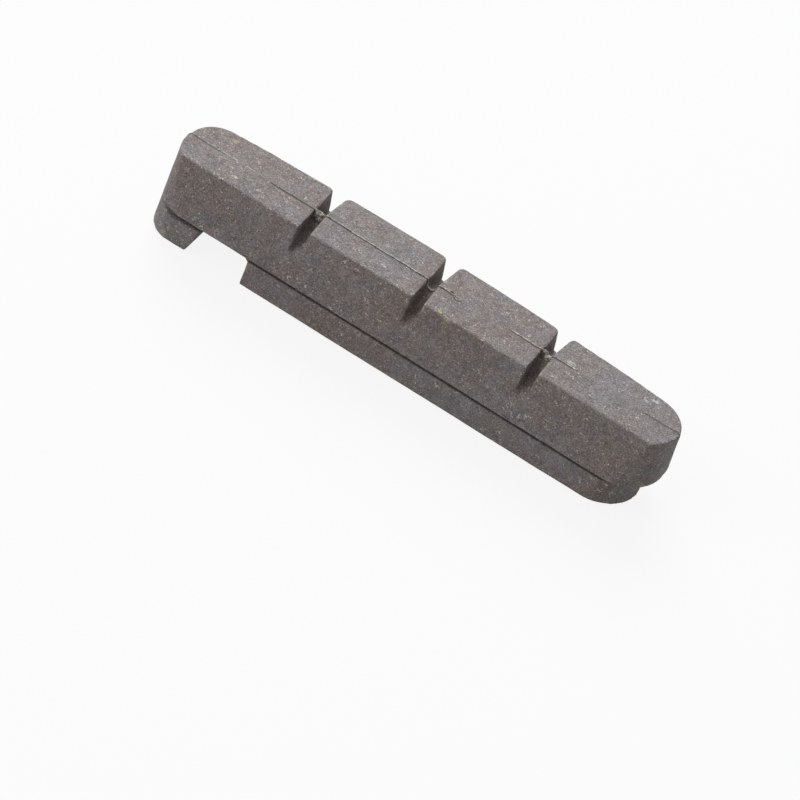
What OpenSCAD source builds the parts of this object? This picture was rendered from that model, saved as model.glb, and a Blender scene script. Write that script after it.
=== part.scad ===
// Rim brake pad insert: one moulded piece of rubber compound that slides into a metal shoe.
// X runs from the hook end to the round end, Y = 0 is the mould's parting plane, and Z is up
// from the back of the rail (Z = 0) to the braking face. Sizes are in millimetres.

/* [Overall] */
// Length from the hook end to the round end
pad_l = 55; // [45:0.5:60]
// Thickness from the back of the rail to the braking face
pad_t = 9.7; // [8.5:0.1:12]

/* [Block] */
// Height of the wall on the straight side
wall_h = 5.95; // [4.8:0.05:6.4]
// Parting line to the straight edge of the braking face
straight_w = 3.15; // [2.6:0.05:4]
// Lean of the straight side's wall, outward going down
straight_flare = 13.6; // [4:0.2:16]
// Parting line to the bowed edge of the braking face at its widest
bowed_w = 4.05; // [3.4:0.05:5]
// Radius of the bowed edge, which follows the rim
bow_r = 330; // [200:5:600]
// Distance from the hook end to the widest place of the bow
bow_x = 24.5; // [20:0.5:32]
// Lean of the bowed side's wall, outward going down
bowed_flare = 14; // [4:0.2:16]
// Height of the bowed side's wall at the widest place
bowed_wall_h = 4.1; // [3.2:0.1:5]
// Slope of the underside below the bowed wall
under_slope = 40; // [20:1:50]
// Fall of the braking face from the parting line to its edges
face_fall = 0.12; // [0:0.02:0.4]

/* [Block ends] */
// Corner radius at the hook end, straight side
hook_corner_r = 3.6; // [2:0.1:4.2]
// Lean of the end corners on the straight side
corner_lean = 3; // [0:0.5:6]
// Corner radius at the hook end, bowed side
bowed_hook_r = 3.3; // [2:0.1:3.6]
// Step at the hook end, where the bowed half of the mould is the shorter one
bowed_end_step = 0.15; // [0:0.01:0.3]
// Corner radius at the round end, bowed side
bowed_tip_r = 3.6; // [2.4:0.1:4.4]

/* [Wear grooves] */
// Distance from the hook end to the middle groove
groove_mid_x = 27.55; // [24:0.05:30]
// Distance from one groove to the next
groove_pitch = 12.7; // [11.5:0.1:14]
// Depth of a groove at the parting plane
groove_depth_mid = 1; // [0.5:0.1:2]
// Depth of a groove at the side walls
groove_depth_side = 3.7; // [2.2:0.1:4]
// Radius of a groove's floor on the straight side
groove_straight_r = 0.55; // [0.2:0.02:0.7]
// Radius of a groove's floor on the bowed side
groove_bowed_r = 0.38; // [0.2:0.02:0.6]
// Lean of a groove's front and back walls on the straight side
groove_straight_lean = [2, 3]; // [0:1:20]
// Lean of a groove's front and back walls on the bowed side
groove_bowed_lean = [5, 13]; // [0:1:20]
// Radius of the corners beside a groove on the straight side
straight_corner_r = 0.25; // [0.1:0.05:0.6]
// Radius of the corners beside a groove on the bowed side
bowed_corner_r = 0.5; // [0.1:0.05:0.8]

/* [Rail] */
// Distance from the hook end to the start of the rail
rail_x = 11; // [9.5:0.1:14]
// Distance from the round end of the rail to the round end of the block
rail_setback = 1.55; // [0.6:0.05:3]
// Half width of the rail at its back
rail_w = 4.35; // [3.8:0.05:4.6]
// Half width of the rail at its top
rail_top_w = 4.2; // [3.7:0.05:4.6]
// Height of the rail's and the hook's sides on the bowed side
rail_h = 2.95; // [2.2:0.05:3.4]
// Height of the rail's and the hook's sides on the straight side
straight_rail_h = 3.25; // [2.6:0.05:3.5]
// Half width of the flat land along the parting line on the back
land_w = 0.9; // [0.3:0.1:2]
// Rise of the back from the land to the rail's edges
back_rise = 0.28; // [0:0.02:0.5]
// Distance that the rail's start leans along the parting plane
start_lean = 1.8; // [0.5:0.1:2.4]
// Turn of each half of the rail's start away from the parting plane
start_turn = 24; // [10:1:35]

/* [Neck and gap] */
// Half width of the neck between the block and the rail
neck_w = 3.4; // [2.4:0.1:3.7]
// Height of the gap's floor over the back of the rail, at the parting plane
gap_floor = 2.65; // [2:0.05:3.2]

/* [Hook] */
// Length of the hook at its back
hook_l = 4.75; // [3.5:0.05:6]
// Distance that the hook's inner face leans
hook_lean = 1.05; // [0:0.05:1.6]
// Half width of the hook
hook_w = 4.45; // [3.8:0.05:4.6]
// Radius of the hook's outer corners
hook_outer_r = 3; // [1.5:0.1:3.6]
// Radius of the hook's inner corners
hook_inner_r = 0.7; // [0.3:0.05:1.2]
// Radius of the hook's edge on the back
hook_edge_r = 0.7; // [0.3:0.05:1.2]

/* [Show] */
// Part to build: all, or one node by name

/* [Hidden] */
$fn = 96;
compound = [0.42, 0.39, 0.38];
// Lower edge of the straight wall, and how far out it lies
block_z = pad_t - wall_h;
straight_low_w = straight_w + (wall_h - face_fall) * tan(straight_flare);
// The bowed outline is drawn square to its leaning wall
bow_w = bowed_w * cos(bowed_flare);
bow_cy = bow_w - bow_r;
bow_hook_cx = bowed_end_step + bowed_hook_r;
bow_hook_y = bow_cy + sqrt(pow(bow_r - bowed_hook_r, 2) - pow(bow_hook_cx - bow_x, 2));
bow_tip_cx = pad_l - bowed_tip_r;
bow_tip_y = bow_cy + sqrt(pow(bow_r - bowed_tip_r, 2) - pow(bow_tip_cx - bow_x, 2));
bow_hook_x = bow_x + (bow_hook_cx - bow_x) * bow_r / (bow_r - bowed_hook_r);
bow_tip_x = bow_x + (bow_tip_cx - bow_x) * bow_r / (bow_r - bowed_tip_r);
// Widest place of the bowed wall's lower edge
bow_low_w = bowed_w + bowed_wall_h * tan(bowed_flare);
bow_low_z = pad_t - bowed_wall_h;
// Round end of the rail
rail_cx = pad_l - rail_setback - rail_w;
tip_r = straight_low_w;
// Slope of a groove's floor from the parting plane to the side walls
groove_fall = atan((groove_depth_side - groove_depth_mid) / straight_low_w);
big = 20;

// Distance from the parting line to the bowed edge of the braking face at x
function bow_edge(x) = (bow_cy + sqrt(pow(bow_r, 2) - pow(x - bow_x, 2))) / cos(bowed_flare);

// A section in Y and Z, drawn out along X
module along_x(x0, x1) {
    translate([x0, 0, 0]) rotate([90, 0, 90]) linear_extrude(x1 - x0) children();
}

// A profile in X and Z, drawn out across the pad by w to each side
module across(w) {
    translate([0, w, 0]) rotate([90, 0, 0]) linear_extrude(2 * w) children();
}

// Outline of the straight half in plan, at the wall's lower edge
module straight_outline() {
    translate([hook_corner_r, -straight_low_w])
        square([pad_l - tip_r - hook_corner_r, straight_low_w + 1]);
    translate([0, hook_corner_r - straight_low_w])
        square([hook_corner_r, straight_low_w - hook_corner_r + 1]);
    translate([hook_corner_r, hook_corner_r - straight_low_w]) circle(hook_corner_r);
    translate([pad_l - tip_r, 0]) circle(tip_r);
    translate([pad_l - tip_r, 0]) square([tip_r, 1]);
}

// Outline of the bowed half in plan, at the braking face
module bowed_outline() {
    intersection() {
        translate([bow_x, bow_cy]) circle(bow_r, $fn = 720);
        translate([bow_hook_x, -6]) square([bow_tip_x - bow_hook_x, big]);
    }
    translate([bow_hook_cx, bow_hook_y]) circle(bowed_hook_r);
    translate([bowed_end_step, -6]) square([bow_hook_x + 1, 6 + bow_hook_y]);
    translate([bow_tip_cx, bow_tip_y]) circle(bowed_tip_r);
}

// Everything inside the two mould halves' end and side walls
module mould_form() {
    intersection() {
        translate([0, 0, block_z]) rotate([-corner_lean, 0, 0])
            translate([0, 0, -big / 2]) linear_extrude(big) straight_outline();
        translate([-1, -big, -1]) cube([pad_l + 2, big, big]);
    }
    intersection() {
        translate([0, 0, pad_t]) rotate([bowed_flare, 0, 0])
            translate([0, 0, -big]) linear_extrude(big + 4) bowed_outline();
        translate([-1, 0, -1]) cube([pad_l + 2, big, big]);
    }
}

// The block with its leaning walls, and the sloped underside on the bowed side
module block() {
    difference() {
        along_x(-1, pad_l + 1) polygon([
            [0, block_z], [0, pad_t],
            [big, pad_t - big * face_fall / bowed_w], [big, block_z]]);
        along_x(-2, pad_l + 2) polygon([
            [neck_w, 0], [big, 0],
            [big, bow_low_z + (big - bow_low_w) * tan(under_slope)],
            [bow_low_w, bow_low_z],
            [neck_w, bow_low_z - (bow_low_w - neck_w) * tan(under_slope)]]);
    }
    along_x(-1, pad_l + 1) polygon([
        [0.5, block_z], [0.5, pad_t - face_fall], [0, pad_t],
        [-straight_w, pad_t - face_fall], [-straight_low_w, block_z]]);
}

// The neck that joins the block to the rail and the hook
module neck() {
    intersection() {
        along_x(-1, pad_l) polygon([
            [-neck_w, rail_h], [0, gap_floor], [neck_w, rail_h],
            [neck_w, bow_low_z], [-neck_w, bow_low_z]]);
        translate([0, 0, gap_floor - 1]) linear_extrude(pad_t) {
            translate([-1, -neck_w]) square([rail_cx + 1, 2 * neck_w]);
            translate([rail_cx, 0]) circle(neck_w);
        }
    }
}

// Section shared by the rail and the hook: a flat land with gently rising halves
module back_section(w, top_w) {
    polygon([
        [-land_w, 0], [land_w, 0], [w, back_rise], [top_w, rail_h],
        [-top_w, straight_rail_h], [-w, back_rise]]);
}

// The hook at the closed end, level with the back of the rail
module hook() {
    intersection() {
        along_x(-1, hook_l + hook_lean) back_section(hook_w, hook_w);
        across(hook_w) {
            polygon([
                [0, hook_edge_r], [hook_edge_r, 0], [hook_l, 0],
                [hook_l + hook_lean, rail_h], [hook_l + hook_lean, straight_rail_h],
                [0, straight_rail_h]]);
            intersection() {
                translate([hook_edge_r, hook_edge_r]) circle(hook_edge_r);
                square(hook_edge_r);
            }
        }
        linear_extrude(pad_t) {
            translate([0, hook_outer_r - hook_w])
                square([hook_outer_r, 2 * (hook_w - hook_outer_r)]);
            translate([hook_outer_r, -hook_w])
                square([hook_l + hook_lean - hook_inner_r - hook_outer_r, 2 * hook_w]);
            translate([hook_outer_r, hook_inner_r - hook_w])
                square([hook_l + hook_lean - hook_outer_r, 2 * (hook_w - hook_inner_r)]);
            for (side = [-1, 1]) {
                translate([hook_outer_r, side * (hook_w - hook_outer_r)]) circle(hook_outer_r);
                translate([hook_l + hook_lean - hook_inner_r, side * (hook_w - hook_inner_r)])
                    circle(hook_inner_r);
            }
        }
    }
}

// The rail that slides into the shoe, with its leaning start and round end
module rail() {
    intersection() {
        along_x(rail_x, pad_l) back_section(rail_w, rail_top_w);
        linear_extrude(pad_t) {
            translate([rail_x, -rail_w]) square([rail_cx - rail_x, 2 * rail_w]);
            translate([rail_cx, 0]) circle(rail_w);
        }
    }
    // The start leans at the parting plane, and each half turns away to the side
    for (side = [0, 1]) mirror([0, side, 0]) intersection() {
        translate([rail_x, 0, 0]) rotate([0, 0, -start_turn])
            across(pad_t) polygon([
                [start_lean, back_rise], [start_lean, gap_floor + 0.6],
                [-start_lean - 0.6, gap_floor + 0.6],
                [0.3 - start_lean, gap_floor - 0.35], [0, back_rise]]);
        translate([rail_x - start_lean - 1, -0.01, 0])
            cube([start_lean + 3, neck_w, pad_t / 2]);
    }
}

// Cross-section of one groove: leaning walls over a round floor
module groove_section(r, lean) {
    top = groove_depth_side + 3;
    translate([0, r]) circle(r);
    polygon([
        [-r, r], [r, r],
        [r + top * tan(lean[1]), r + top], [-r - top * tan(lean[0]), r + top]]);
}

// Rounds the corner between a groove's wall and the side wall, down to the groove's floor.
// The corner stands at w from the groove's middle and y from the parting plane.
module corner_round(r, w, y, wall_lean, lean) {
    edge_lean = atan(tan(lean) * cos(wall_lean + groove_fall));
    reach = (groove_depth_mid + y * tan(groove_fall))
        / (cos(wall_lean) - tan(groove_fall) * sin(wall_lean));
    translate([-w, y, pad_t]) rotate([wall_lean, -edge_lean, 0])
        translate([0, 0, -reach + w / 2]) linear_extrude(reach) difference() {
            translate([-r, -r]) square(r + 1);
            translate([-r, -r]) circle(r);
        }
}

// Half of one groove, from the parting plane out to y at the top of the side wall
module half_groove(r, lean, corner_r, y, wall_lean) {
    mirror([0, 1, 0]) translate([0, 0, pad_t - groove_depth_mid])
        rotate([90 + groove_fall, 0, 0]) translate([0, 0, -1])
            linear_extrude(big / 2) groove_section(r, lean);
    // Height over the groove's floor at the top of the side wall
    h = groove_depth_mid * cos(groove_fall) + y * sin(groove_fall) - r;
    corner_round(corner_r, r + h * tan(lean[0]), y, wall_lean, lean[0]);
    mirror([1, 0, 0]) corner_round(corner_r, r + h * tan(lean[1]), y, wall_lean, lean[1]);
}

// One wear groove at x, falling from the parting plane to both side walls
module groove(x) {
    translate([x, 0, 0]) {
        half_groove(groove_bowed_r, groove_bowed_lean, bowed_corner_r, bow_edge(x),
            bowed_flare);
        mirror([0, 1, 0]) half_groove(groove_straight_r, groove_straight_lean,
            straight_corner_r, straight_w, straight_flare);
    }
}

module pad_insert() {
    color(compound) translate([-pad_l / 2, 0, 0]) difference() {
        union() {
            intersection() {
                mould_form();
                union() {
                    block();
                    neck();
                    hook();
                }
            }
            rail();
        }
        for (i = [-1 : 1]) groove(groove_mid_x + i * groove_pitch);
    }
}

pad_insert();
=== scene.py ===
"""A slide-in rim brake pad, lying on the back of its rail with the braking face up.

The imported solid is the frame. Its mesh is copied, and the copy gets softened edges and a
slightly uneven skin. The flash that the mould leaves is added in pieces of its own. The pad's
sizes are in millimetres and turned into metres where they are used. The floor and the lamps
are placed in metres.
"""

import math

import bmesh
import bpy
import numpy as np
from mathutils import Matrix, Vector, noise


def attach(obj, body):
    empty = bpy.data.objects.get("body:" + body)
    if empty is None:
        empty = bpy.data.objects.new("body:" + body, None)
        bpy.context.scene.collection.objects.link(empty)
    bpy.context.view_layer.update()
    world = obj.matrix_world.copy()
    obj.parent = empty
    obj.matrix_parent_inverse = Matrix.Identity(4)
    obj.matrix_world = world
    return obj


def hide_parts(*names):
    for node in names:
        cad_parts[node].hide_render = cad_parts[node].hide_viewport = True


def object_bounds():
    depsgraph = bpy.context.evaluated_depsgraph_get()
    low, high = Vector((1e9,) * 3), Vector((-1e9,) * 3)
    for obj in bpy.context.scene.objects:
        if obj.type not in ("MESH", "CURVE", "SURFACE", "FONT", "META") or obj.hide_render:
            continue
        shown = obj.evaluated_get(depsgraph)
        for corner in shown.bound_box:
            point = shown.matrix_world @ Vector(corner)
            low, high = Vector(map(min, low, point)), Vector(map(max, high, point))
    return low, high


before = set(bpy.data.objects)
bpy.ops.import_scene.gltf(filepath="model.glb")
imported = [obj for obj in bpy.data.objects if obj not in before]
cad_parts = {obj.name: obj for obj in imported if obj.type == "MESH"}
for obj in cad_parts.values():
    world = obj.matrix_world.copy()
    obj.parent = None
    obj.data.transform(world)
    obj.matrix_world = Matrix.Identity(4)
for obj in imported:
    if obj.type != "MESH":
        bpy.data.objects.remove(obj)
cad_box = [list(corner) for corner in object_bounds()]
mm = 0.001
scene = bpy.context.scene

# The camera
# It stands where the photographer's stood: in front of the straight side, above the braking
# face and turned so that the pad runs down to the right. A long lens keeps the sides parallel.
stand = Vector((100.27, -404.64, 386.96)) * mm
aim = Vector((2.54, -4.93, -0.87)) * mm
turn = math.radians(22.32)

lens = bpy.data.cameras.new("photographer")
lens.lens = 270.27
lens.sensor_width = 36
lens.clip_start = 0.05
lens.clip_end = 10


def add(name, data):
    """A new object in the scene with that mesh, curve, lamp or camera."""
    piece = bpy.data.objects.new(name, data)
    scene.collection.objects.link(piece)
    return piece


camera = add("photographer", lens)
camera.location = stand
facing = (aim - stand).to_track_quat("-Z", "Y").to_matrix()
camera.matrix_world = Matrix.Translation(stand) @ (facing @ Matrix.Rotation(turn, 3, "Z")).to_4x4()
scene.camera = camera

# The pad insert
# One piece of friction compound, pressed under heat in a mould of two halves. It comes out
# with small soft edges and a skin that is never quite flat.
grain = 0.095
softening = 6
most_faces = 190000
wave_height = 0.035
wave_size = 4.5
ripple_height = 0.012
ripple_size = 0.9
skin_loss = 0.02
table_gap = 0.01


def apply_modifiers(piece):
    """Makes what the modifiers do part of the object's own mesh, and returns that mesh."""
    evaluated = piece.evaluated_get(bpy.context.evaluated_depsgraph_get())
    piece.data = bpy.data.meshes.new_from_object(evaluated)
    piece.modifiers.clear()
    return piece.data


pad = add("pad_insert_moulding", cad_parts["pad_insert"].data.copy())
pad.data.materials.clear()
remesh = pad.modifiers.new("skin", "REMESH")
remesh.mode = "VOXEL"
remesh.voxel_size = grain * mm
remesh.adaptivity = 0
skin = apply_modifiers(pad)


def points_of(mesh):
    """The mesh's points as rows of x, y and z."""
    points = np.zeros(len(mesh.vertices) * 3)
    mesh.vertices.foreach_get("co", points)
    return points.reshape(-1, 3)


def soften(mesh, times, pull=0.6):
    """Draws each point towards the middle of its neighbours, which rounds the edges a little."""
    points = points_of(mesh)
    ends = np.zeros(len(mesh.edges) * 2, int)
    mesh.edges.foreach_get("vertices", ends)
    near, far = ends.reshape(-1, 2).T
    count = np.bincount(ends, minlength=len(points))[:, None]
    for _ in range(times):
        total = np.zeros_like(points)
        for axis in range(3):
            total[:, axis] += np.bincount(near, points[far, axis], len(points))
            total[:, axis] += np.bincount(far, points[near, axis], len(points))
        points += pull * (total / count - points)
    mesh.vertices.foreach_set("co", points.ravel())
    mesh.update()


def unevenness(point, size):
    """Smooth noise from -1 to 1 with bumps of about that size in millimetres."""
    return noise.noise(Vector(point) / (size * mm))


def skin_rise(point):
    """How far the skin stands off the true form at that point, in millimetres."""
    waves = wave_height * unevenness(point, wave_size)
    ripples = ripple_height * unevenness(point, ripple_size)
    return waves + ripples - skin_loss


def normals_of(mesh):
    """The outward directions at the mesh's points, as rows."""
    outward = np.zeros(len(mesh.vertices) * 3)
    mesh.vertices.foreach_get("normal", outward)
    return outward.reshape(-1, 3)


soften(skin, softening)
points = points_of(skin)
points += normals_of(skin) * np.array([skin_rise(point) for point in points])[:, None] * mm
low, high = (np.array(corner) for corner in cad_box)
low[2] += table_gap * mm
skin.vertices.foreach_set("co", np.clip(points, low, high).ravel())
skin.update()
# The mesh is thinned where it lies flat, but stays fine along the parting line
fine_reach = 0.45
by_seam = pad.vertex_groups.new(name="by_seam")
by_seam.add(np.flatnonzero(abs(points[:, 1]) < fine_reach * mm).tolist(), 1.0, "REPLACE")
thin = pad.modifiers.new("thin", "DECIMATE")
thin.vertex_group = "by_seam"
thin.invert_vertex_group = True
thin.ratio = most_faces / (2 * len(skin.polygons))
skin = apply_modifiers(pad)
skin.polygons.foreach_set("use_smooth", [True] * len(skin.polygons))
points = points_of(skin)
outward = normals_of(skin)

# The torn parting line wanders a little, and it looks different along the braking face
seam_reach = 0.8
seam_offset = 0.03
seam_sway = 0.1
seam_sway_size = 1.3
face_level = 9.7
face_depth = 0.5
look_off_face = (0.6, 0.45)


def seam_wander(x, z):
    """How far the torn parting line lies off the parting plane there, in millimetres."""
    return seam_offset + seam_sway * unevenness((x, 0, z), seam_sway_size)


# Places along the braking face, each with how dark the painted shadow along the crease is
# and how pale the torn ridge
seam_knots = [
    (-27.5, 0.7, 0.1), (-24.2, 0.6, 0.3), (-23.2, 0.1, 0.9), (-20.7, 0.1, 0.8), (-19.0, 0.0, 0.1),
    (-18.4, 0.1, 0.1), (-17.9, 1.0, 0.1), (-13.2, 1.0, 0.15), (-12.0, 1.0, 0.9), (-0.5, 1.0, 1.0),
    (2.6, 1.0, 1.0), (3.2, 0.0, 0.0), (8.2, 0.0, 0.0), (9.0, 0.8, 0.5), (12.6, 1.0, 0.9),
    (13.6, 1.0, 0.4), (15.6, 0.9, 0.2), (16.4, 0.2, 0.1), (19.5, 0.0, 0.0), (22.6, 0.0, 0.0),
    (23.6, 0.6, 0.1), (27.5, 0.8, 0.1),
]


def seam_look(x, z):
    """The darkness of the painted shadow in the crease and the paleness of the ridge there, from 0
    to 1.
    """
    if z < (face_level - face_depth) * mm:
        return look_off_face
    places, dark, pale = zip(*seam_knots)
    return float(np.interp(x / mm, places, dark)), float(np.interp(x / mm, places, pale))


near_seam = {
    i: (*seam_look(x, z), y / mm - seam_wander(x, z))
    for i, (x, y, z) in enumerate(points) if abs(y) < seam_reach * mm
}
far_from_seam = (0.0, 0.0, 9.0)
for column, name in enumerate(("crease_and_shadow", "ridge", "across")):
    values = [near_seam.get(i, far_from_seam)[column] for i in range(len(points))]
    skin.attributes.new(name, "FLOAT", "POINT").data.foreach_set("value", values)
# Where the skin bends sharply outward, the compound is rubbed paler and a highlight is painted
# along the edge; where it bends inward, in creases and hollows, shade is painted darker
bulge_softening = 10
full_bulge = 0.12
skin_copy = skin.copy()
soften(skin_copy, bulge_softening)
bulge = ((points - points_of(skin_copy)) * outward).sum(1) / mm
bulge_wear_and_shade = skin.attributes.new("bulge_wear_and_shade", "FLOAT", "POINT")
bulge_wear_and_shade.data.foreach_set("value", np.clip(bulge / full_bulge, -1, 1))


class Layer:
    """A value, colour or vector on its way through a material's nodes."""

    def __init__(self, tree, socket):
        self.tree = tree
        self.socket = socket

    def make(self, kind, inputs, out=0, stops=None, **settings):
        """Adds a node with those settings and inputs, and gives what comes out of it."""
        made = self.tree.nodes.new("ShaderNode" + kind)
        for name, value in settings.items():
            setattr(made, name, value)
        if stops:
            ramp = made.color_ramp.elements
            while len(ramp) < len(stops):
                ramp.new(0.5)
            for element, (position, tone) in zip(ramp, stops):
                element.position = position
                element.color = tone
        for name, value in inputs.items():
            if isinstance(value, Layer):
                self.tree.links.new(value.socket, made.inputs[name])
            else:
                made.inputs[name].default_value = value
        return Layer(self.tree, made.outputs[out])

    def maths(self, operation, first, second=0.0):
        return self.make("Math", {0: first, 1: second}, operation=operation)

    def __add__(self, other):
        return self.maths("ADD", self, other)

    def __radd__(self, other):
        return self.maths("ADD", other, self)

    def __sub__(self, other):
        return self.maths("SUBTRACT", self, other)

    def __rsub__(self, other):
        return self.maths("SUBTRACT", other, self)

    def __mul__(self, other):
        return self.maths("MULTIPLY", self, other)

    def __rmul__(self, other):
        return self.maths("MULTIPLY", other, self)

    def size_of(self):
        return self.maths("ABSOLUTE", self)

    def step(self, start, end):
        """0 at start and 1 at end, with a soft step between them."""
        return self.make(
            "MapRange", {0: self, 1: start, 2: end, 3: 0.0, 4: 1.0},
            interpolation_type="SMOOTHSTEP",
        )

    def noise(self, size, detail=2.0, roughness=0.5):
        """Cloudy noise from 0 to 1 with lumps of about that size in millimetres."""
        inputs = {"Vector": self, "Scale": 1 / size, "Detail": detail, "Roughness": roughness}
        return self.make("TexNoise", inputs)

    def moved(self, **change):
        return self.make("Mapping", {"Vector": self, **change})

    def mix(self, share, other):
        return self.make("Mix", {0: share, 6: self, 7: other}, out=2, data_type="RGBA")


def colour(red, green, blue):
    """A colour as it is read off a picture, from 0 to 255, made linear."""
    return tuple((c / 255) ** 2.2 for c in (red, green, blue)) + (1.0,)


def new_material(name):
    """A material, its shader and a layer with the place in millimetres on the pad."""
    material = bpy.data.materials.new(name)
    material.use_nodes = True
    tree = material.node_tree
    shader = tree.nodes["Principled BSDF"]
    start = Layer(tree, None)
    place = start.make("TexCoord", {}, out="Object")
    place = place.make("VectorMath", {0: place, 1: (1 / mm,) * 3}, operation="MULTIPLY")
    return material, shader, place


def feed(layer, shader, name):
    layer.tree.links.new(layer.socket, shader.inputs[name])


def flakes(place, size, share, stretch, lean):
    """Flat chips of filler in the compound: how much of a chip is here, and its random tint."""
    cells = place.moved(Rotation=lean, Scale=stretch)
    inputs = {"Vector": cells, "Scale": 1 / size, "Randomness": 1.0}
    distance = place.make("TexVoronoi", inputs, out="Distance")
    chance = place.make("TexVoronoi", inputs, out="Color")
    red = chance.make("SeparateColor", {0: chance}, out=0)
    green = chance.make("SeparateColor", {0: chance}, out=1)
    blue = chance.make("SeparateColor", {0: chance}, out=2)
    reach = 0.16 + 0.24 * green
    edge = (reach - distance).step(0.0, 0.08)
    return edge * (red * -1.0).step(-share - 0.01, -share + 0.01), blue


compound, shader, place = new_material("friction_compound")
sway = place.make("TexNoise", {"Vector": place, "Scale": 4.0, "Detail": 1.0}, out="Color")
bent = place.make("VectorMath", {0: place, 1: sway}, operation="ADD")
clouds = place.noise(6.0, 3.0, 0.55)
mottle = place.noise(0.9, 3.0, 0.6)
fine = place.noise(0.17, 3.0, 0.7)
body = place.make(
    "ValToRGB", {0: clouds.step(0.3, 0.7)},
    stops=[(0.0, colour(113, 101, 95)), (1.0, colour(119, 114, 117))],
)
patches = place.moved(Location=(7, 3, 1)).noise(1.7)
body = body.mix(patches.step(0.5, 0.7) * 0.55, colour(93, 92, 99))
body = body.mix((1 - patches.step(0.28, 0.46)) * 0.4, colour(106, 88, 78))
body = body.mix(mottle.step(0.38, 0.68) * 0.4, colour(90, 76, 70))
body = body.mix((1 - fine.step(0.3, 0.52)) * 0.9, colour(56, 49, 47))
body = body.mix(fine.step(0.52, 0.74) * 0.65, colour(164, 156, 151))
chip_tints = [
    (0.0, colour(206, 196, 180)), (0.3, colour(190, 178, 160)), (0.45, colour(160, 134, 108)),
    (0.55, colour(188, 184, 178)), (0.7, colour(148, 138, 116)), (0.82, colour(140, 144, 150)),
    (0.9, colour(70, 62, 60)), (1.0, colour(48, 44, 44)),
]
chips = []
for size, share, stretch, lean in [
    (0.74, 0.19, (1.0, 2.2, 1.8), (0.3, 0.2, 0.6)),
    (0.55, 0.2, (2.4, 1.0, 2.2), (0.7, -0.4, 0.2)),
    (0.5, 0.22, (1.6, 1.2, 2.6), (-0.5, 0.9, -0.8)),
    (0.36, 0.3, (1.1, 1.8, 1.3), (0.1, 0.5, 1.3)),
]:
    here, tint = flakes(bent, size, share, stretch, lean)
    chip = tint.make("ValToRGB", {0: tint}, stops=chip_tints)
    body = body.mix(here * 0.78, chip)
    chips.append(here)
wear_and_shade = place.make("Attribute", {}, out="Fac", attribute_name="bulge_wear_and_shade")
# Outward edges: rubbed wear and a painted highlight. Inward bends: painted shade.
body = body.mix(wear_and_shade.step(0.25, 1.0) * mottle.step(0.3, 0.6) * 0.35, colour(176, 164, 146))
body = body.mix((wear_and_shade * -1.0).step(0.2, 1.0) * 0.35, colour(52, 46, 44))

# The parting line: a crease darkened by painted fin shadow, with a pale torn ridge on the bowed
# side
dark, pale, across = (
    place.make("Attribute", {}, out="Fac", attribute_name=name)
    for name in ("crease_and_shadow", "ridge", "across")
)
broken = place.noise(0.5, 3.0, 0.6)
crease_and_shadow = (1 - (across + 0.1).size_of().step(0.04, 0.13)) * dark * broken.step(0.25, 0.45)
torn = (1 - (across - 0.05).size_of().step(0.05, 0.12)) * pale * broken.step(0.3, 0.5)
body = body.mix(torn * 0.6, colour(190, 184, 168))
# The fin's shadow, painted as a dark line along the crease
body = body.mix(crease_and_shadow * 0.85, colour(38, 33, 31))


def smudge(centre, reach, lean, level=face_level):
    """A mark with ragged edges, from 0 to 1, on the braking face or at the height given."""
    spot = place.make(
        "Mapping",
        {"Vector": place, "Location": (*centre, level), "Rotation": (0, 0, lean),
         "Scale": (*reach, 0.6)},
        vector_type="TEXTURE",
    )
    away = spot.make("VectorMath", {0: spot}, out="Value", operation="LENGTH")
    return (1 - (away + (mottle - 0.5) * 1.4).step(0.3, 1.0)) * fine.step(0.35, 0.55)


marks = smudge((15.05, 0.5), (0.7, 0.4), 0.3) + smudge((22.9, 1.5), (0.5, 0.2), -0.6)
marks = marks + smudge((23.6, 2.1), (0.8, 0.25), 0.2)
body = body.mix(marks * 0.55, colour(196, 196, 198))
ochre = smudge((2.2, -2.8), (0.6, 0.35), -0.1) + smudge((3.2, -3.1), (0.7, 0.35), 0.0)
body = body.mix(ochre * 0.6, colour(180, 160, 118))
body = body.mix(smudge((-23.5, 2.38), (0.4, 0.3), 0.4) * 0.8, colour(190, 158, 128))
cream = smudge((-21.1, -1.9), (0.5, 0.2), 0.2) + smudge((-22.2, -1.0), (0.4, 0.2), -0.3)
body = body.mix(cream * 0.6, colour(204, 190, 170))
body = body.mix(smudge((-25.2, -4.3), (0.4, 0.5), 0.0, 0.65) * 0.7, colour(152, 148, 116))
relief = fine * 0.6 + mottle * 0.8 + (chips[0] + chips[1] + chips[2]) * 0.35
relief = relief + torn * 1.6 - crease_and_shadow * 3.0
feed(body, shader, "Base Color")
feed(0.62 + 0.2 * mottle - 0.12 * chips[0], shader, "Roughness")
bump = relief.make("Bump", {"Height": relief, "Strength": 0.8, "Distance": 0.045 * mm})
feed(bump, shader, "Normal")
shader.inputs["Specular IOR Level"].default_value = 0.65
skin.materials.append(compound)
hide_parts("pad_insert")
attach(pad, "root")

# The flash
# Where the two mould halves meet, compound is pressed out into a thin ragged fin. It runs round
# the whole pad, and in the grooves it was torn off and left small lumps and hairs.
fin_reach = 0.08
fin_foot = 0.055
fin_root = 0.08
fin_step = 0.11
least_strength = 0.12
fin_margin = 0.1
cut_offset = 0.02
weld = 0.001

# The solid is cut just beside its parting plane, because edges run along the plane itself
cut = bmesh.new()
cut.from_mesh(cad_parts["pad_insert"].data)
bmesh.ops.remove_doubles(cut, verts=cut.verts, dist=weld * mm)
sliced = bmesh.ops.bisect_plane(
    cut, geom=cut.verts[:] + cut.edges[:] + cut.faces[:],
    plane_co=(0, cut_offset * mm, 0), plane_no=(0, 1, 0),
)
rims = [e for e in sliced["geom_cut"] if isinstance(e, bmesh.types.BMEdge)]
neighbours = {}
for e in rims:
    for a, b in (e.verts, reversed(e.verts)):
        neighbours.setdefault(a, []).append(b)
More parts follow.
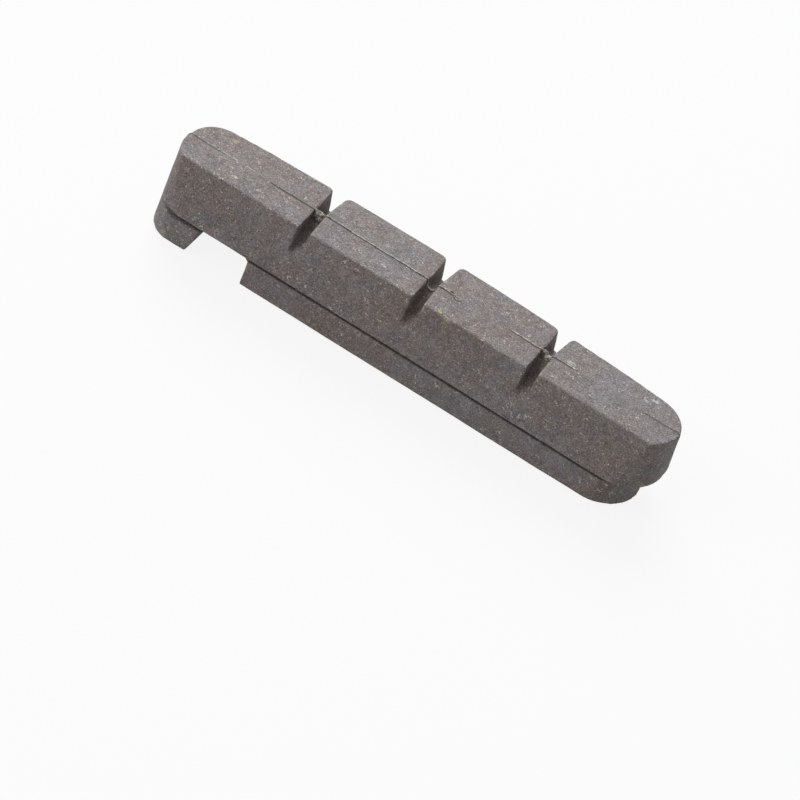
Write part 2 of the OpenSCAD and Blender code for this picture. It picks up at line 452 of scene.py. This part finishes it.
# The loops are walked in the mesh's own order, so that every run gives the same fin
loops = []
passed = set()
for start in neighbours:
    if start in passed:
        continue
    loop = [start]
    passed.add(start)
    while onward := [v for v in neighbours[loop[-1]] if v not in passed]:
        loop.append(onward[0])
        passed.add(onward[0])
    loops.append([(v.co.x, v.co.z) for v in loop])
outline = np.array(max(loops, key=len))
cut.free()
steps = np.linalg.norm(np.roll(outline, -1, 0) - outline, axis=1)
gone = np.concatenate([[0], np.cumsum(steps)])
spots = np.arange(0, gone[-1], fin_step * mm)
closed = np.vstack([outline, outline[:1]])
path = np.stack([np.interp(spots, gone, closed[:, i]) for i in (0, 1)], 1)
tangent = np.roll(path, -2, 0) - np.roll(path, 2, 0)
tangent /= np.linalg.norm(tangent, axis=1)[:, None] + 1e-12
onward_x, onward_z = np.roll(path, -1, 0).T
turned = np.sign((path[:, 0] * onward_z - path[:, 1] * onward_x).sum())
out = np.stack([tangent[:, 1], -tangent[:, 0]], 1) * turned
corners = []
for (px, pz), (nx, nz) in zip(path, out):
    spread = unevenness((px, 0.003, pz), 0.8)
    ragged = max(0.0, 0.55 + 0.9 * unevenness((px, 0, pz), 0.5) + 0.5 * spread)
    darkness, paleness = seam_look(px, pz)
    strength = darkness * paleness * ragged
    base = skin_rise((px, 0, pz)) * mm
    tall = base + fin_reach * strength * mm
    foot = fin_foot * (0.7 + 0.5 * ragged) * mm
    middle = seam_wander(px, pz) * mm
    sunk = base - fin_root * mm
    if strength < least_strength:
        tall = sunk
    shoulder = min(tall, 0.8 * tall + 0.2 * base)
    for side, up in ((-1.0, sunk), (-0.5, tall), (1.2, shoulder), (1.9, sunk)):
        corners.append((px + nx * up, middle + side * foot, pz + nz * up))
count = len(path)
faces = []
for i in range(count):
    here, onward = 4 * i, 4 * ((i + 1) % count)
    for k in range(4):
        faces.append((here + k, here + (k + 1) % 4, onward + (k + 1) % 4, onward + k))
corners = np.clip(np.array(corners), low - fin_margin * mm, high + fin_margin * mm)
# On the back it is pressed flat by the table
corners[:, 2] = np.maximum(corners[:, 2], low[2])
fin_mesh = bpy.data.meshes.new("flash_fin")
fin_mesh.from_pydata(corners.tolist(), [], faces)
fin_mesh.update()
fin = add("flash_fin", fin_mesh)


def lump(name, centre, reach, seed):
    """A small torn lump of flash."""
    ball = bmesh.new()
    bmesh.ops.create_icosphere(ball, subdivisions=4, radius=1)
    for v in ball.verts:
        push = 1 + 0.5 * noise.noise(v.co * 1.8 + Vector((seed, 0, 0)))
        push += 0.35 * noise.noise(v.co * 4.5 + Vector((0, seed, 0)))
        push += 0.16 * noise.noise(v.co * 10 + Vector((0, 0, seed)))
        v.co = Vector(centre) * mm + Vector(v.co[i] * push * reach[i] * mm for i in range(3))
    mesh = bpy.data.meshes.new(name)
    ball.to_mesh(mesh)
    ball.free()
    mesh.polygons.foreach_set("use_smooth", [True] * len(mesh.polygons))
    return add(name, mesh)


def strand(name, thickness, bends):
    """A torn hair of flash through those places, thinner at both ends."""
    hair = bpy.data.curves.new(name, "CURVE")
    hair.dimensions = "3D"
    hair.bevel_depth = thickness / 2 * mm
    hair.bevel_resolution = 2
    line = hair.splines.new("NURBS")
    line.use_endpoint_u = True
    line.points.add(len(bends) - 1)
    for i, (knot, (bx, by, bz)) in enumerate(zip(line.points, bends)):
        knot.co = (bx * mm, by * mm, bz * mm, 1)
        uneven = 1.0 + 0.35 * noise.noise(knot.co.xyz / mm)
        knot.radius = 0.6 if i in (0, len(bends) - 1) else uneven
    return add(name, hair)


flash_skin, shader, place = new_material("torn_flash")
worn = place.noise(0.35, 3.0, 0.6)
tint = place.make(
    "ValToRGB", {0: worn.step(0.3, 0.7)},
    stops=[(0.0, colour(94, 87, 81)), (0.45, colour(144, 137, 127)), (1.0, colour(196, 189, 177))],
)
feed(tint, shader, "Base Color")
feed(0.6 + 0.25 * worn, shader, "Roughness")
feed(worn.make("Bump", {"Height": worn, "Strength": 0.8, "Distance": 0.05 * mm}), shader, "Normal")
flash = [
    fin,
    strand("flash_hair", 0.1, [
        (1.1, 0.15, 9.68), (1.6, 0.2, 9.75), (2.1, 0.22, 9.77), (2.35, 0.1, 9.77),
        (2.45, -0.25, 9.76), (2.8, -0.4, 9.77), (3.25, -0.15, 9.73),
    ]),
    strand("flash_loop", 0.11, [
        (-1.2, 0.08, 9.71), (-0.75, 0.06, 9.69), (-0.52, 0.02, 9.2), (-0.35, -0.05, 8.8),
        (0.1, -0.08, 8.74), (0.42, -0.02, 8.95), (0.58, 0.05, 9.4), (0.75, 0.12, 9.68),
        (1.2, 0.15, 9.7),
    ]),
    strand("flash_thread", 0.12, [
        (12.0, 0.12, 9.72), (12.3, 0.05, 9.7), (12.5, 0.12, 9.4), (12.75, 0.0, 9.15),
        (13.1, 0.15, 9.3), (13.4, 0.05, 9.6), (13.7, 0.1, 9.7),
    ]),
    lump("flash_lump_front", (-12.65, 0.05, 9.25), (0.56, 0.3, 0.42), 2.0),
    lump("flash_crumb_front", (-13.2, 0.08, 9.6), (0.22, 0.13, 0.13), 4.0),
    lump("flash_lump_rear", (12.5, 0.15, 9.5), (0.3, 0.16, 0.2), 9.0),
    lump("flash_crumb_rear", (13.0, 0.02, 9.15), (0.4, 0.18, 0.2), 7.0),
]
for piece in flash:
    piece.data.materials.append(flash_skin)
    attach(piece, "root")

# The floor, the backdrop and the light
# A white table that runs on to the horizon, a white room and two large soft lamps, the main one
# high behind the pad. The camera sees them as near white, and the table keeps shadows.
table_reach = 4
table_glow = 0.88
room_light = 0.33

floor_mesh = bpy.data.meshes.new("table")
table_corners = [
    (x * table_reach, y * table_reach, 0) for x, y in ((-1, -1), (1, -1), (1, 1), (-1, 1))
]
floor_mesh.from_pydata(table_corners, [], [(0, 1, 2, 3)])
floor = add("table", floor_mesh)
paper = bpy.data.materials.new("white_paper")
paper.use_nodes = True
tree = paper.node_tree
tree.nodes.clear()
blank = Layer(tree, None)


def seen_directly(layer):
    """1 for rays from the camera, reflections and glass, and 0 for the light on the object."""
    eye, gloss, glass = (
        layer.make("LightPath", {}, out=name)
        for name in ("Is Camera Ray", "Is Glossy Ray", "Is Transmission Ray")
    )
    rays = eye + gloss + glass
    return rays.maths("MINIMUM", rays, 1.0)


matt = blank.make("BsdfDiffuse", {"Color": (0.6, 0.6, 0.6, 1)})
glow = blank.make("Emission", {"Color": (1, 1, 1, 1), "Strength": 1.0})
sheet = blank.make("MixShader", {0: seen_directly(blank) * table_glow, 1: matt, 2: glow})
tree.links.new(sheet.socket, tree.nodes.new("ShaderNodeOutputMaterial").inputs[0])
floor_mesh.materials.append(paper)

room = bpy.data.worlds.new("white_room")
scene.world = room
room.use_nodes = True
tree = room.node_tree
tree.nodes.clear()
sky = Layer(tree, None)
dim = sky.make("Background", {"Color": (1, 1, 1, 1), "Strength": room_light})
white = sky.make("Background", {"Color": (1, 1, 1, 1), "Strength": 1.0})
walls = sky.make("MixShader", {0: sky.make("LightPath", {}, out="Is Camera Ray"), 1: dim, 2: white})
tree.links.new(walls.socket, tree.nodes.new("ShaderNodeOutputWorld").inputs[0])


def lamp(name, where, size, power, tint=(1, 1, 1)):
    """A square soft box that faces the pad."""
    light = bpy.data.lights.new(name, "AREA")
    light.color = tint
    light.size = size
    light.energy = power
    box = add(name, light)
    box.location = where
    box.rotation_euler = (-Vector(where)).to_track_quat("-Z", "Y").to_euler()


lamp("back_soft_box", (-0.26, 0.38, 0.42), 0.45, 4.8, (0.92, 0.96, 1.0))
lamp("side_soft_box", (-0.42, -0.36, 0.5), 0.4, 2.35)

scene.view_settings.view_transform = "Standard"
